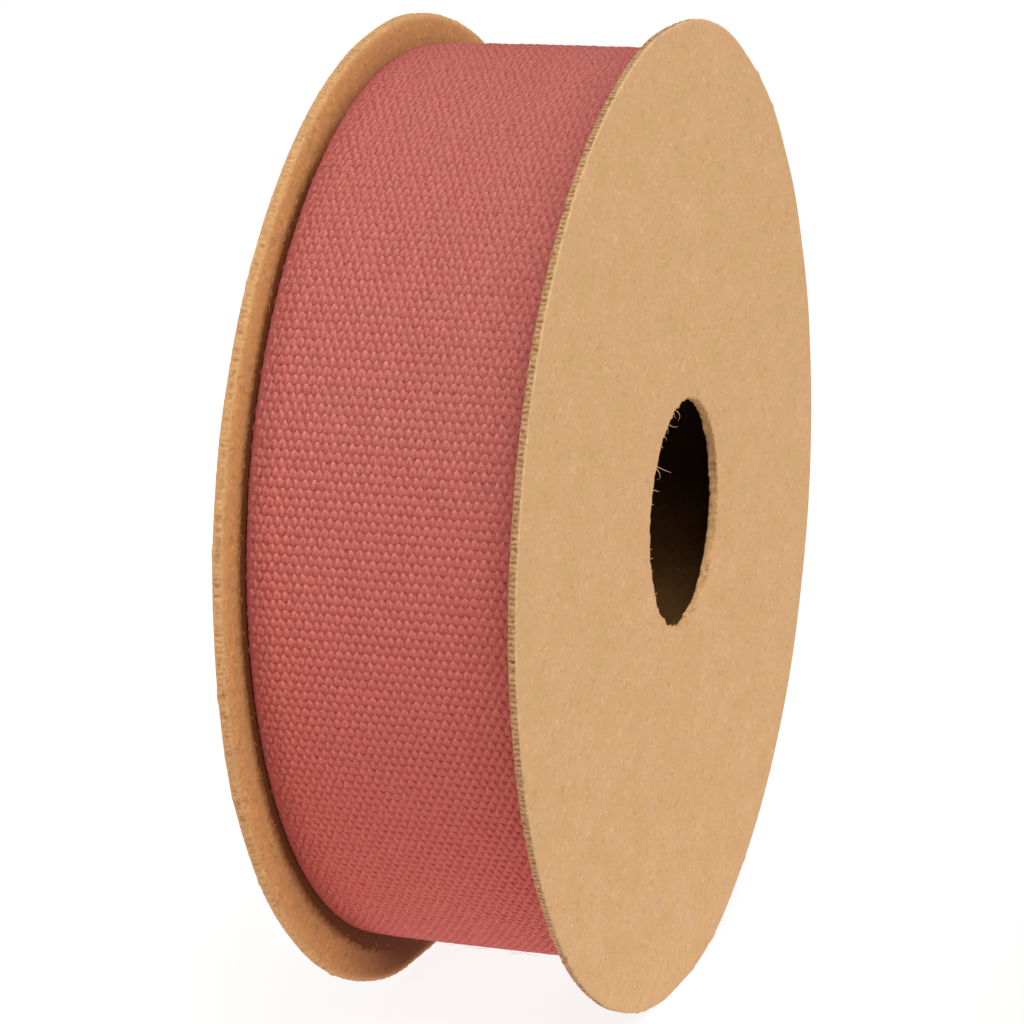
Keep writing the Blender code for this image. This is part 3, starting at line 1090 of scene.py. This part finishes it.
def weave_places(tree, g, index):
    """Each raised stretch's warp end, its place across and its place along, over every other pick."""
    share = add_node(
        tree, "ShaderNodeMath", {0: index, 1: g["Raised in a pick"]}, operation="DIVIDE")
    row = add_node(tree, "ShaderNodeMath", {0: share.outputs[0]}, operation="FLOOR")
    pick = add_node(tree, "ShaderNodeMath", {0: row.outputs[0], 1: g["First pick"]}, operation="ADD")
    column = add_node(
        tree, "ShaderNodeMath", {0: index, 1: g["Raised in a pick"]}, operation="MODULO")
    odd = add_node(tree, "ShaderNodeMath", {0: pick.outputs[0], 1: 2.0}, operation="MODULO")
    end = add_node(
        tree, "ShaderNodeMath", {0: column.outputs[0], 1: 2.0, 2: odd.outputs[0]}, operation="MULTIPLY_ADD")
    middle = add_node(tree, "ShaderNodeMath", {0: g["Raised in a pick"], 1: 0.5}, operation="SUBTRACT")
    from_middle = add_node(
        tree, "ShaderNodeMath", {0: end.outputs[0], 1: middle.outputs[0]}, operation="SUBTRACT")
    x = add_node(
        tree, "ShaderNodeMath", {0: from_middle.outputs[0], 1: g["End pitch"]}, operation="MULTIPLY")
    half_on = add_node(tree, "ShaderNodeMath", {0: pick.outputs[0], 1: 0.5}, operation="ADD")
    y = add_node(tree, "ShaderNodeMath", {0: half_on.outputs[0], 1: g["Pick pitch"]}, operation="MULTIPLY")
    return end.outputs[0], x.outputs[0], y.outputs[0]


# How far a raised stretch is off its place at most, across, along and up
THREAD_SHIFT = (0.04 * MM, 0.045 * MM, 0.012 * MM)

# The least and the greatest turn of a raised stretch in radians, and its least and greatest size as a share
THREAD_TURNS = ((0.0, -0.10, -0.24), (0.0, 0.10, 0.06))
THREAD_SIZES = ((0.92, 0.95, 0.84), (1.12, 1.05, 1.16))

# Its size at the selvedges, and its height low on the roll, as shares
SELVEDGE_SIZE = (0.90, 0.94, 0.50)
PRESSED_HEIGHT = 0.4

# Where along the outermost turn it gets pressed, as shares of the turn
PRESSED_FROM, PRESSED_FULLY = 0.62, 0.76


def thread_sizes(tree, g, x, y, vary):
    """Size of each raised stretch at its place across and along, varied by a random share."""
    # Towards the selvedges the threads are drawn tight, so that they are narrower and lie flatter
    off_middle = add_node(tree, "ShaderNodeMath", {0: x}, operation="ABSOLUTE")
    tight = add_node(
        tree, "ShaderNodeMapRange",
        {"Value": off_middle.outputs[0], "From Min": HALF_RIBBON - 2.0 * MM,
         "From Max": HALF_RIBBON - 0.5 * MM})
    drawn = add_node(
        tree, "ShaderNodeMix",
        {"Factor": tight.outputs[0], 4: (1.0, 1.0, 1.0), 5: SELVEDGE_SIZE}, data_type="VECTOR")
    drawn_varied = add_node(
        tree, "ShaderNodeVectorMath", {0: vary, 1: drawn.outputs[1]}, operation="MULTIPLY")
    # Low on the roll, where it has lain, the threads are pressed flatter
    low = add_node(
        tree, "ShaderNodeMapRange",
        {"Value": y, "From Min": PRESSED_FROM * TURN_LENGTH, "From Max": PRESSED_FULLY * TURN_LENGTH,
         "To Min": 1.0, "To Max": PRESSED_HEIGHT})
    flatter = add_node(tree, "ShaderNodeCombineXYZ", {"X": 1.0, "Y": 1.0, "Z": low.outputs[0]})
    varied = add_node(
        tree, "ShaderNodeVectorMath", {0: drawn_varied.outputs[0], 1: flatter.outputs[0]},
        operation="MULTIPLY")
    size = add_node(
        tree, "ShaderNodeVectorMath", {0: varied.outputs[0], 1: g["Float size"]}, operation="MULTIPLY")
    return size.outputs[0]


def float_tree():
    """A tree that lays raised warp threads in a plain weave: over one pick and under the next, by turns."""
    tree, given, result = geometry_tree("Plain weave, raised warp", (
        ("First pick", "NodeSocketFloat"),
        ("Picks", "NodeSocketFloat"),
        ("Raised in a pick", "NodeSocketFloat"),
        ("End pitch", "NodeSocketFloat"),
        ("Pick pitch", "NodeSocketFloat"),
        ("Float size", "NodeSocketVector"),
        ("Height", "NodeSocketFloat"),
        ("Seed", "NodeSocketInt"),
        ("Thread", "NodeSocketObject"),
        ("Material", "NodeSocketMaterial"),
    ))
    g = given.outputs
    count = add_node(
        tree, "ShaderNodeMath", {0: g["Picks"], 1: g["Raised in a pick"]}, operation="MULTIPLY")
    index = add_node(tree, "GeometryNodeInputIndex").outputs[0]
    end, x, y = weave_places(tree, g, index)
    place = add_node(tree, "ShaderNodeCombineXYZ", {"X": x, "Y": y, "Z": g["Height"]})
    # Hand-like unevenness: each thread is a little off its place, turned, and wider or narrower
    seeds = [
        add_node(tree, "ShaderNodeMath", {0: g["Seed"], 1: float(k)}, operation="ADD").outputs[0]
        for k in range(5)]
    shift = add_node(
        tree, "FunctionNodeRandomValue",
        {0: tuple(-s for s in THREAD_SHIFT), 1: THREAD_SHIFT, "ID": index, "Seed": seeds[0]},
        data_type="FLOAT_VECTOR")
    moved = add_node(
        tree, "ShaderNodeVectorMath", {0: place.outputs[0], 1: shift.outputs[0]}, operation="ADD")
    points = add_node(tree, "GeometryNodePoints", {"Count": count.outputs[0], "Position": moved.outputs[0]})
    # A warp end keeps its own shade along its whole length, and each raised stretch differs a little
    end_tone = add_node(
        tree, "FunctionNodeRandomValue", {2: 0.0, 3: 0.55, "ID": end, "Seed": seeds[1]},
        data_type="FLOAT")
    own_tone = add_node(
        tree, "FunctionNodeRandomValue", {2: 0.0, 3: 0.45, "ID": index, "Seed": seeds[2]},
        data_type="FLOAT")
    tone = add_node(
        tree, "ShaderNodeMath", {0: end_tone.outputs[1], 1: own_tone.outputs[1]}, operation="ADD")
    toned = add_node(
        tree, "GeometryNodeStoreNamedAttribute",
        {"Geometry": points.outputs[0], "Name": "tone", "Value": tone.outputs[0]},
        data_type="FLOAT", domain="POINT")
    raised = add_node(
        tree, "GeometryNodeStoreNamedAttribute",
        {"Geometry": toned.outputs[0], "Name": "raised", "Value": 1.0}, data_type="FLOAT", domain="POINT")
    turn = add_node(
        tree, "FunctionNodeRandomValue",
        {0: THREAD_TURNS[0], 1: THREAD_TURNS[1], "ID": index, "Seed": seeds[3]}, data_type="FLOAT_VECTOR")
    vary = add_node(
        tree, "FunctionNodeRandomValue",
        {0: THREAD_SIZES[0], 1: THREAD_SIZES[1], "ID": index, "Seed": seeds[4]}, data_type="FLOAT_VECTOR")
    size = thread_sizes(tree, g, x, y, vary.outputs[0])
    thread = add_node(tree, "GeometryNodeObjectInfo", {"Object": g["Thread"]})
    instances = add_node(
        tree, "GeometryNodeInstanceOnPoints",
        {"Points": raised.outputs[0], "Instance": thread.outputs["Geometry"],
         "Rotation": turn.outputs[0], "Scale": size})
    real = add_node(tree, "GeometryNodeRealizeInstances", {0: instances.outputs[0]})
    finished = add_node(
        tree, "GeometryNodeSetMaterial", {"Geometry": real.outputs[0], "Material": g["Material"]})
    tree.links.new(finished.outputs[0], result.inputs[0])
    return tree


WEAVE_PIECES = 3
WEAVE_SEED = 11

# A raised stretch's width in pitches of the warp ends, its length in picks, and how far its crest stands out
FLOAT_WIDTH = 2.70
FLOAT_LENGTH = 1.50
CREST_OUT = 0.04 * MM


def raised_warp(ribbon, material):
    """The raised warp threads of the outermost turn, in three pieces of a third of a turn each."""
    tree = float_tree()
    thread = float_template()
    pick_pitch = TURN_LENGTH / ribbon.picks
    end_pitch = 2 * (HALF_RIBBON - 0.25 * SELVEDGE) / ribbon.ends
    picks = ribbon.picks // WEAVE_PIECES
    pieces = []
    for part in range(WEAVE_PIECES):
        values = {
            "First pick": float(part * picks),
            "Picks": float(picks),
            "Raised in a pick": ribbon.ends / 2,
            "End pitch": end_pitch,
            "Pick pitch": pick_pitch,
            "Float size": (FLOAT_WIDTH * end_pitch, FLOAT_LENGTH * pick_pitch, ribbon.crest),
            "Height": CREST_OUT - ribbon.crest,
            "Seed": WEAVE_SEED + 10 * part,
            "Thread": thread,
            "Material": material,
        }
        piece = run_tree(f"ribbon_raised_warp_{part + 1}", tree, values)
        wind_on(piece.data)
        pieces.append(piece)
    bpy.data.objects.remove(thread, do_unlink=True)
    return pieces


def smooth_path(stops, count):
    """Points of a smooth curve through four stops."""
    stops = np.asarray(stops, float)
    t = np.linspace(0, 1, count)[:, None]
    fit = np.linalg.solve(np.vander([0, 1 / 3, 2 / 3, 1]), stops)
    return t**3 * fit[0] + t**2 * fit[1] + t * fit[2] + fit[3]


HAIR_SIDES = 4
HAIR_STOPS = 7
HAIR_TIP = 0.35

# A direction that none of the hairs follows, from which their sides are worked out
ASLANT = (0.31, 0.52, 0.79)


def hairs(name, paths, radii, material, values):
    """Fine hairs along smooth curves through four stops each, thick at the root and thin at the tip."""
    points, faces = [], []
    taper = np.linspace(1.0, HAIR_TIP, HAIR_STOPS)
    for stops, radius in zip(paths, radii):
        path = smooth_path(stops, HAIR_STOPS)
        tangent = np.gradient(path, axis=0)
        tangent /= np.linalg.norm(tangent, axis=1)[:, None]
        side = np.cross(tangent, ASLANT)
        side /= np.linalg.norm(side, axis=1)[:, None]
        other = np.cross(tangent, side)
        first = len(points)
        for k in range(HAIR_STOPS):
            for angle in around(HAIR_SIDES):
                lean = side[k] * math.cos(angle) + other[k] * math.sin(angle)
                points.append(path[k] + lean * radius * taper[k])
        for k in range(HAIR_STOPS - 1):
            for j in range(HAIR_SIDES):
                n = (j + 1) % HAIR_SIDES
                a, b = first + k * HAIR_SIDES, first + (k + 1) * HAIR_SIDES
                faces.append((a + j, a + n, b + n, b + j))
        tip = first + (HAIR_STOPS - 1) * HAIR_SIDES
        faces.append(tuple(range(first, first + HAIR_SIDES))[::-1])
        faces.append(tuple(range(tip, tip + HAIR_SIDES)))
    stored = {key: np.full(len(points), value) for key, value in values.items()}
    return mesh_object(name, points, faces, material, stored)


def out_and_along(angle):
    """The directions away from the spool's axis and round it, at an angle."""
    return (
        np.array([0.0, math.cos(angle), math.sin(angle)]),
        np.array([0.0, -math.sin(angle), math.cos(angle)]))


# Torn paper fibres at the hole of the right disc: angle round the hole, and four stops in millimetres as
# (out of the face, into the hole, along the edge)
HOLE_FIBRES = (
    (107, ((0, 0, 0), (0.30, 0.20, 0), (0.42, 0.60, 0), (0.15, 1.15, 0))),
    (110, ((0, 0, 0), (0.12, 0.10, 0.05), (0.10, 0.30, 0.10), (0.25, 0.45, 0.05))),
    (119, ((0, 0, 0), (0.25, 0.25, 0), (0.60, 0.35, 0), (0.90, 0.25, -0.05))),
    (122, ((0, 0, 0), (0.05, 0.20, 0), (0.10, 0.40, 0), (0.00, 0.65, 0.10))),
    (128, ((0, 0, 0), (0.15, 0.10, 0), (0.20, 0.30, 0), (0.20, 0.50, 0))),
    (133, ((0, 0, 0), (0.05, 0.10, 0.10), (0.12, 0.20, 0.15), (0.10, 0.35, 0.15))),
    (145, ((0, 0, 0), (0.35, 0.50, 0), (0.75, 0.95, 0), (1.15, 1.30, 0))),
    (146, ((0, 0, 0), (0.30, 0.30, 0.30), (0.35, 0.70, 0.60), (0.00, 0.90, 0.80))),
    (157, ((0, 0, 0), (0.20, 0.20, 0), (0.35, 0.50, 0), (0.55, 0.50, 0))),
    (164, ((0, 0, 0), (0.10, 0.15, 0), (0.15, 0.30, 0), (0.20, 0.35, 0))),
    (186, ((0, 0, 0), (0.08, 0.10, 0), (0.12, 0.20, 0.05), (0.20, 0.22, 0.05))),
    (191, ((0, 0, 0), (0.10, 0.12, 0), (0.20, 0.22, 0), (0.28, 0.20, 0.05))),
    (198, ((0, 0, 0), (0.10, 0.10, 0), (0.15, 0.20, 0), (0.22, 0.18, -0.05))),
    (212, ((0, 0, 0), (0.10, 0.12, 0), (0.18, 0.22, 0), (0.22, 0.30, 0))),
)


HOLE_FIBRE_RADIUS = 0.045 * MM
HOLE_FIBRE_ROOT = 0.08 * MM


def hole_fibres(material):
    """The paper fibres that the punch left standing in the hole of the right disc."""
    paths = []
    for degrees, stops in HOLE_FIBRES:
        outward, along = out_and_along(math.radians(degrees))
        root = np.array([DISC_HIGH.x - HOLE_FIBRE_ROOT, HOLE_Y, HOLE_Z])
        root = root + outward * (HOLE_RADIUS + HOLE_FIBRE_ROOT)
        paths.append([
            root + MM * (np.array([out, 0.0, 0.0]) - inward * outward + shift * along)
            for out, inward, shift in stops])
    values = {"cut": 1.0, "crevice": 0.0, "hatched": 0.0, "inner": 0.0}
    return hairs("paper_fibres_in_hole", paths, [HOLE_FIBRE_RADIUS] * len(paths), material, values)


FUZZ_HAIRS = 260
FUZZ_RADIUS = 0.022 * MM
FUZZ_SEED = 12


def paper_fuzz(material):
    """Paper fibres that stand off the inner side of the left disc, in a ring round the ribbon."""
    rng = np.random.default_rng(FUZZ_SEED)
    paths = []
    for _ in range(FUZZ_HAIRS):
        outward, along = out_and_along(rng.uniform(0, 2 * math.pi))
        root = np.array([-CARD_INNER_FACE - 0.02 * MM, AXIS_Y, AXIS_Z])
        root = root + outward * (WINDING_OUTSIDE + rng.uniform(0.3, 1.3) * MM)
        slant = rng.normal(0, 0.5)
        length = rng.uniform(0.25, 0.75) * MM
        lean = along * math.cos(slant) + outward * math.sin(slant)
        curl = outward * rng.normal(0, 0.12 * MM)
        lift = np.array([rng.uniform(0.06, 0.16) * MM, 0.0, 0.0])
        paths.append([
            root,
            root + 0.3 * length * lean + lift,
            root + 0.7 * length * lean + lift + curl,
            root + length * lean + 0.6 * lift + 2 * curl])
    values = {"cut": 1.0, "crevice": 0.0, "hatched": 0.0, "inner": 0.6}
    return hairs("paper_fuzz", paths, [FUZZ_RADIUS] * len(paths), material, values)


LINT_HAIRS = 420
LINT_SEED = 5


def cotton_lint(material):
    """Short curled hairs of cotton that stand off the ribbon, more of them at its selvedges."""
    rng = np.random.default_rng(LINT_SEED)
    paths = []
    for k in range(LINT_HAIRS):
        x = rng.uniform(-1, 1) * HALF_RIBBON
        if k % 3 == 0:
            x = math.copysign(HALF_RIBBON - 0.1 * MM, x)
        root = np.array([x, rng.uniform(0.002, 0.998) * TURN_LENGTH, -0.05 * MM])
        lean = rng.normal(0, 0.28 * MM, 2)
        curl = rng.normal(0, 0.22 * MM, 2)
        height = rng.uniform(0.06, 0.26) * MM
        paths.append([
            root,
            root + (lean[0], lean[1], 0.8 * height),
            root + (2 * lean[0] + curl[0], 2 * lean[1] + curl[1], height + 0.05 * MM),
            root + (2.6 * lean[0] + 2.5 * curl[0], 2.6 * lean[1] + 2.5 * curl[1], 0.9 * height + 0.05 * MM)])
    radii = rng.uniform(0.012, 0.020, LINT_HAIRS) * MM
    piece = hairs("cotton_lint", paths, radii, material, {"tone": 1.0, "raised": 1.0})
    wind_on(piece.data)
    return piece


FRAY_RADIUS = 0.10 * MM
FRAY_SEED = 8


def frayed_end(ribbon, material):
    """Warp threads that have come loose at the ribbon's cut end, at the back of the spool."""
    rng = np.random.default_rng(FRAY_SEED)
    paths = []
    for k in range(ribbon.ends):
        x = (k + 0.5) / ribbon.ends * 2 * HALF_RIBBON - HALF_RIBBON
        root = np.array([x, 0.3 * MM, -0.16 * MM - 0.10 * MM * (k % 2)])
        length = rng.uniform(0.35, 1.3) * MM
        bend = rng.normal(0, 0.10 * MM, 3)
        paths.append([
            root,
            root + (0.3 * bend[0], -0.3 * MM - 0.3 * length, 0.0),
            root + (bend[0], -0.3 * MM - 0.6 * length, -0.05 * MM),
            root + (2 * bend[0], -0.3 * MM - length, -0.10 * MM + 0.5 * abs(bend[2]))])
    radii = [FRAY_RADIUS] * ribbon.ends
    piece = hairs("frayed_warp_ends", paths, radii, material, {"tone": 0.4, "raised": 0.9})
    wind_on(piece.data)
    return piece


def dress(piece, slot, *nodes):
    """Let a finished piece move with the spool and stand for its CAD nodes, which are hidden. Its slot is
    not used.
    """
    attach(piece, "root")
    if nodes:
        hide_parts(*nodes)


class SPOOL_OT_card_discs(bpy.types.Operator):
    """Make the two die-cut card discs"""

    bl_idname = "ribbon_spool.card_discs"
    bl_label = "Card discs"

    def execute(self, context):
        card = context.scene.ribbon_spool_card
        material = kraft_card_material(card)
        right = card_disc("die_cut_disc_right", 1, card, material, hatching=1.0, browned=0.0, seed=21)
        left = card_disc("die_cut_disc_left", -1, card, material, hatching=0.34, browned=0.60, seed=34)
        dress(right, "disc_card", "card_disc_right")
        dress(left, "disc_card", "card_disc_left")
        dress(hole_fibres(material), "disc_card")
        dress(paper_fuzz(material), "disc_card")
        return {"FINISHED"}


class SPOOL_OT_core_tube(bpy.types.Operator):
    """Make the tube of wound board between the discs"""

    bl_idname = "ribbon_spool.core_tube"
    bl_label = "Core tube"

    def execute(self, context):
        material = tube_board_material(context.scene.ribbon_spool_card)
        dress(core_tube(material), "tube_board", "core_tube")
        return {"FINISHED"}


class SPOOL_OT_ribbon(bpy.types.Operator):
    """Weave the ribbon and wind it on the tube"""

    bl_idname = "ribbon_spool.ribbon"
    bl_label = "Wound ribbon"

    def execute(self, context):
        ribbon = context.scene.ribbon_spool_ribbon
        material = cotton_material(ribbon)
        dress(inner_turns(material), "cotton_ribbon", "ribbon_roll")
        dress(outer_ground(ribbon, material), "cotton_ribbon")
        for piece in raised_warp(ribbon, material):
            dress(piece, "cotton_ribbon")
        dress(frayed_end(ribbon, material), "cotton_ribbon")
        dress(cotton_lint(material), "cotton_ribbon")
        return {"FINISHED"}


# Soft lights: place, size of the square and colour
KEY_LIGHT = ((0.218, -0.468, 1.017), 0.55, (0.86, 0.98, 1.0))
FRONT_LIGHT = ((-0.25, -1.0, 0.05), 0.6, (1.0, 0.82, 0.78))


def soft_light(name, place, size, color, power):
    """A square soft light that points at the middle of the spool."""
    data = bpy.data.lights.new(name, "AREA")
    data.size = size
    data.energy = power
    data.color = color
    lamp = bpy.data.objects.new(name, data)
    lamp.location = place
    target = Vector((0.0, 0.0, DISC_HEIGHT))
    lamp.rotation_euler = (target - Vector(place)).to_track_quat("-Z", "Y").to_euler()
    bpy.context.scene.collection.objects.link(lamp)


def studio_world():
    """White studio walls: bright on the right, dim on the left, dark in front and brighter higher up."""
    world = bpy.data.worlds.new("studio")
    world.use_nodes = True
    tree = world.node_tree
    look = add_node(tree, "ShaderNodeTexCoord")
    axes = add_node(tree, "ShaderNodeSeparateXYZ", {0: look.outputs["Generated"]})
    right = add_node(
        tree, "ShaderNodeMapRange",
        {"Value": axes.outputs["X"], "From Min": 0.0, "From Max": 0.7, "To Min": 0.0, "To Max": 1.06})
    left = add_node(
        tree, "ShaderNodeMapRange",
        {"Value": axes.outputs["X"], "From Min": -0.2, "From Max": -0.8, "To Min": 0.0, "To Max": 0.30})
    both = add_node(tree, "ShaderNodeMath", {0: right.outputs[0], 1: left.outputs[0]}, operation="ADD")
    upward = add_node(
        tree, "ShaderNodeMapRange",
        {"Value": axes.outputs["Z"], "From Min": 0.0, "From Max": 0.8, "To Min": 0.4, "To Max": 1.8})
    strength = add_node(
        tree, "ShaderNodeMath", {0: both.outputs[0], 1: upward.outputs[0]}, operation="MULTIPLY")
    tree.links.new(strength.outputs[0], tree.nodes["Background"].inputs["Strength"])
    tree.nodes["Background"].inputs["Color"].default_value = (1.0, 1.0, 1.0, 1.0)
    return world


FLOOR_RADIUS = 3.0
FLOOR_CORNERS = 64


class SPOOL_OT_stage(bpy.types.Operator):
    """Make the pale floor, the soft light and the camera"""

    bl_idname = "ribbon_spool.stage"
    bl_label = "Stage"

    def execute(self, context):
        stage = context.scene.ribbon_spool_stage
        mesh = bpy.data.meshes.new("floor")
        corners = [
            (FLOOR_RADIUS * math.cos(angle), FLOOR_RADIUS * math.sin(angle), 0.0)
            for angle in around(FLOOR_CORNERS)]
        mesh.from_pydata(corners, [], [tuple(range(FLOOR_CORNERS))])
        mesh.materials.append(floor_material(stage))
        floor = bpy.data.objects.new("floor", mesh)
        context.scene.collection.objects.link(floor)

        soft_light("key_light", *KEY_LIGHT, stage.key_power)
        soft_light("front_light", *FRONT_LIGHT, stage.front_power)
        context.scene.world = studio_world()
        context.scene.view_settings.view_transform = "Standard"

        data = bpy.data.cameras.new("camera")
        data.lens = stage.lens
        data.sensor_width = 36.0
        camera = bpy.data.objects.new("camera", data)
        turn = (
            Matrix.Rotation(stage.azimuth, 4, "Z")
            @ Matrix.Rotation(math.pi / 2 - stage.elevation, 4, "X"))
        back = turn @ Vector((0.0, 0.0, stage.distance))
        aim = Matrix.Rotation(stage.aim_left, 4, "Y") @ Matrix.Rotation(-stage.aim_down, 4, "X")
        camera.matrix_world = Matrix.Translation(Vector((0.0, 0.0, DISC_HEIGHT)) + back) @ turn @ aim
        context.scene.collection.objects.link(camera)
        context.scene.camera = camera
        return {"FINISHED"}


OPERATORS = (SPOOL_OT_card_discs, SPOOL_OT_core_tube, SPOOL_OT_ribbon, SPOOL_OT_stage)


class SPOOL_PT_panel(bpy.types.Panel):
    """Lists the spool's pieces and their settings"""

    bl_idname = "SPOOL_PT_panel"
    bl_label = "Ribbon spool"
    bl_space_type = "VIEW_3D"
    bl_region_type = "UI"
    bl_category = "Ribbon spool"

    def draw(self, context):
        for operator in OPERATORS:
            self.layout.operator(operator.bl_idname)
        for settings in (
                context.scene.ribbon_spool_card,
                context.scene.ribbon_spool_ribbon,
                context.scene.ribbon_spool_stage):
            for name in settings.bl_rna.properties.keys():
                if name not in ("rna_type", "name"):
                    self.layout.prop(settings, name)


SETTINGS = {
    "ribbon_spool_card": CardSettings,
    "ribbon_spool_ribbon": RibbonSettings,
    "ribbon_spool_stage": StageSettings,
}


def register():
    for kind in (*SETTINGS.values(), *OPERATORS, SPOOL_PT_panel):
        bpy.utils.register_class(kind)
    for name, kind in SETTINGS.items():
        setattr(bpy.types.Scene, name, PointerProperty(type=kind))


def unregister():
    for name in SETTINGS:
        delattr(bpy.types.Scene, name)
    for kind in (SPOOL_PT_panel, *reversed(OPERATORS), *SETTINGS.values()):
        bpy.utils.unregister_class(kind)


def main():
    register()
    bpy.ops.ribbon_spool.card_discs()
    bpy.ops.ribbon_spool.core_tube()
    bpy.ops.ribbon_spool.ribbon()
    bpy.ops.ribbon_spool.stage()


if __name__ == "__main__":
    main()
